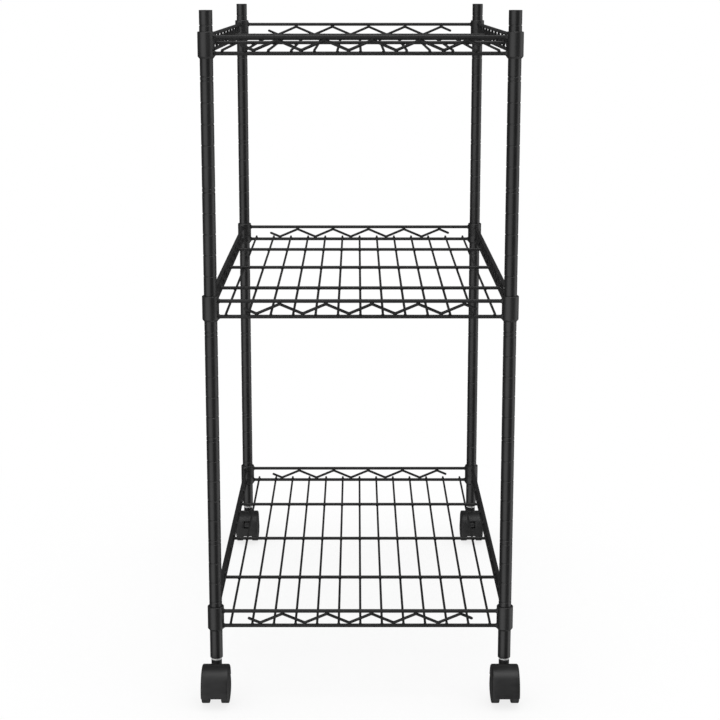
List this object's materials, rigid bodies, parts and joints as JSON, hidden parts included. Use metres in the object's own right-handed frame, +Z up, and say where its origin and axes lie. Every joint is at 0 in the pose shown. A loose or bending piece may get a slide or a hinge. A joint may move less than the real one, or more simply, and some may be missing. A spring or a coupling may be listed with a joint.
{
  "type": "rolling pantry cart",
  "caption": "Three-tier black wire shelf cart on round ringed posts, with twin-wheel swivel casters, the rear pair braked.",
  "frame": {"origin": "middle of the cart's footprint at the floor, under the centre of its bounding box", "axes": "+Z up; +X across the cart's short side, to the right as seen from its front end; +Y along the cart to its rear end, where the braked casters are"},
  "size_m": [0.3784, 0.6378, 0.81],
  "materials": {
    "powder_coat": "black powder coat, satin",
    "black_plastic": "black moulded plastic",
    "zinc": "bright zinc plate"
  },
  "bodies": {
    "frame": {"post_upper_front_left": "powder_coat", "post_lower_front_left": "powder_coat", "post_upper_front_right": "powder_coat", "post_lower_front_right": "powder_coat", "post_upper_rear_left": "powder_coat", "post_lower_rear_left": "powder_coat", "post_upper_rear_right": "powder_coat", "post_lower_rear_right": "powder_coat", "post_caps": "black_plastic", "joining_studs": "zinc", "joint_inserts": "zinc", "foot_inserts": "zinc", "bottom_upper_rails": "powder_coat", "bottom_lower_rails": "powder_coat", "bottom_end_trusses": "powder_coat", "bottom_side_trusses": "powder_coat", "bottom_deck_wires": "powder_coat", "bottom_support_wires": "powder_coat", "bottom_corner_collars": "powder_coat", "bottom_split_sleeves": "black_plastic", "middle_upper_rails": "powder_coat", "middle_lower_rails": "powder_coat", "middle_end_trusses": "powder_coat", "middle_side_trusses": "powder_coat", "middle_deck_wires": "powder_coat", "middle_support_wires": "powder_coat", "middle_corner_collars": "powder_coat", "middle_split_sleeves": "black_plastic", "top_upper_rails": "powder_coat", "top_lower_rails": "powder_coat", "top_end_trusses": "powder_coat", "top_side_trusses": "powder_coat", "top_deck_wires": "powder_coat", "top_support_wires": "powder_coat", "top_corner_collars": "powder_coat", "top_split_sleeves": "black_plastic", "caster_stems": "zinc", "stem_nuts": "zinc", "stem_clips": "zinc"},
    "caster_front_left": {"caster_hood_front_left": "black_plastic", "caster_axle_front_left": "zinc"},
    "wheel_front_left_left": {"wheel_front_left_left": "black_plastic"},
    "wheel_front_left_right": {"wheel_front_left_right": "black_plastic"},
    "caster_front_right": {"caster_hood_front_right": "black_plastic", "caster_axle_front_right": "zinc"},
    "wheel_front_right_left": {"wheel_front_right_left": "black_plastic"},
    "wheel_front_right_right": {"wheel_front_right_right": "black_plastic"},
    "caster_rear_left": {"caster_hood_rear_left": "black_plastic", "caster_axle_rear_left": "zinc", "brake_pin_rear_left": "zinc"},
    "wheel_rear_left_left": {"wheel_rear_left_left": "black_plastic"},
    "wheel_rear_left_right": {"wheel_rear_left_right": "black_plastic"},
    "brake_lever_rear_left": {"brake_lever_rear_left": "black_plastic"},
    "caster_rear_right": {"caster_hood_rear_right": "black_plastic", "caster_axle_rear_right": "zinc", "brake_pin_rear_right": "zinc"},
    "wheel_rear_right_left": {"wheel_rear_right_left": "black_plastic"},
    "wheel_rear_right_right": {"wheel_rear_right_right": "black_plastic"},
    "brake_lever_rear_right": {"brake_lever_rear_right": "black_plastic"}
  },
  "joints": [
    {"name": "swivel_front_left", "type": "hinge", "parent": "frame", "child": "caster_front_left", "pos_m": [-0.1714, -0.27857, 0.025], "axis": [0, 0, 1], "continuous": true},
    {"name": "spin_front_left_left", "type": "hinge", "parent": "caster_front_left", "child": "wheel_front_left_left", "pos_m": [-0.1834, -0.29322, 0.02], "axis": [1, 0, 0], "continuous": true},
    {"name": "spin_front_left_right", "type": "hinge", "parent": "caster_front_left", "child": "wheel_front_left_right", "pos_m": [-0.1594, -0.29322, 0.02], "axis": [1, 0, 0], "continuous": true},
    {"name": "swivel_front_right", "type": "hinge", "parent": "frame", "child": "caster_front_right", "pos_m": [0.1714, -0.27857, 0.025], "axis": [0, 0, 1], "continuous": true},
    {"name": "spin_front_right_left", "type": "hinge", "parent": "caster_front_right", "child": "wheel_front_right_left", "pos_m": [0.1594, -0.29322, 0.02], "axis": [1, 0, 0], "continuous": true},
    {"name": "spin_front_right_right", "type": "hinge", "parent": "caster_front_right", "child": "wheel_front_right_right", "pos_m": [0.1834, -0.29322, 0.02], "axis": [1, 0, 0], "continuous": true},
    {"name": "swivel_rear_left", "type": "hinge", "parent": "frame", "child": "caster_rear_left", "pos_m": [-0.1714, 0.30843, 0.025], "axis": [0, 0, 1], "continuous": true},
    {"name": "spin_rear_left_left", "type": "hinge", "parent": "caster_rear_left", "child": "wheel_rear_left_left", "pos_m": [-0.1834, 0.29378, 0.02], "axis": [1, 0, 0], "continuous": true},
    {"name": "spin_rear_left_right", "type": "hinge", "parent": "caster_rear_left", "child": "wheel_rear_left_right", "pos_m": [-0.1594, 0.29378, 0.02], "axis": [1, 0, 0], "continuous": true},
    {"name": "brake_rear_left", "type": "hinge", "parent": "caster_rear_left", "child": "brake_lever_rear_left", "pos_m": [-0.1714, 0.28207, 0.033], "axis": [1, 0, 0], "range_deg": [0, 6.5]},
    {"name": "swivel_rear_right", "type": "hinge", "parent": "frame", "child": "caster_rear_right", "pos_m": [0.1714, 0.30843, 0.025], "axis": [0, 0, 1], "continuous": true},
    {"name": "spin_rear_right_left", "type": "hinge", "parent": "caster_rear_right", "child": "wheel_rear_right_left", "pos_m": [0.1594, 0.29378, 0.02], "axis": [1, 0, 0], "continuous": true},
    {"name": "spin_rear_right_right", "type": "hinge", "parent": "caster_rear_right", "child": "wheel_rear_right_right", "pos_m": [0.1834, 0.29378, 0.02], "axis": [1, 0, 0], "continuous": true},
    {"name": "brake_rear_right", "type": "hinge", "parent": "caster_rear_right", "child": "brake_lever_rear_right", "pos_m": [0.1714, 0.28207, 0.033], "axis": [1, 0, 0], "range_deg": [0, 6.5]}
  ]
}
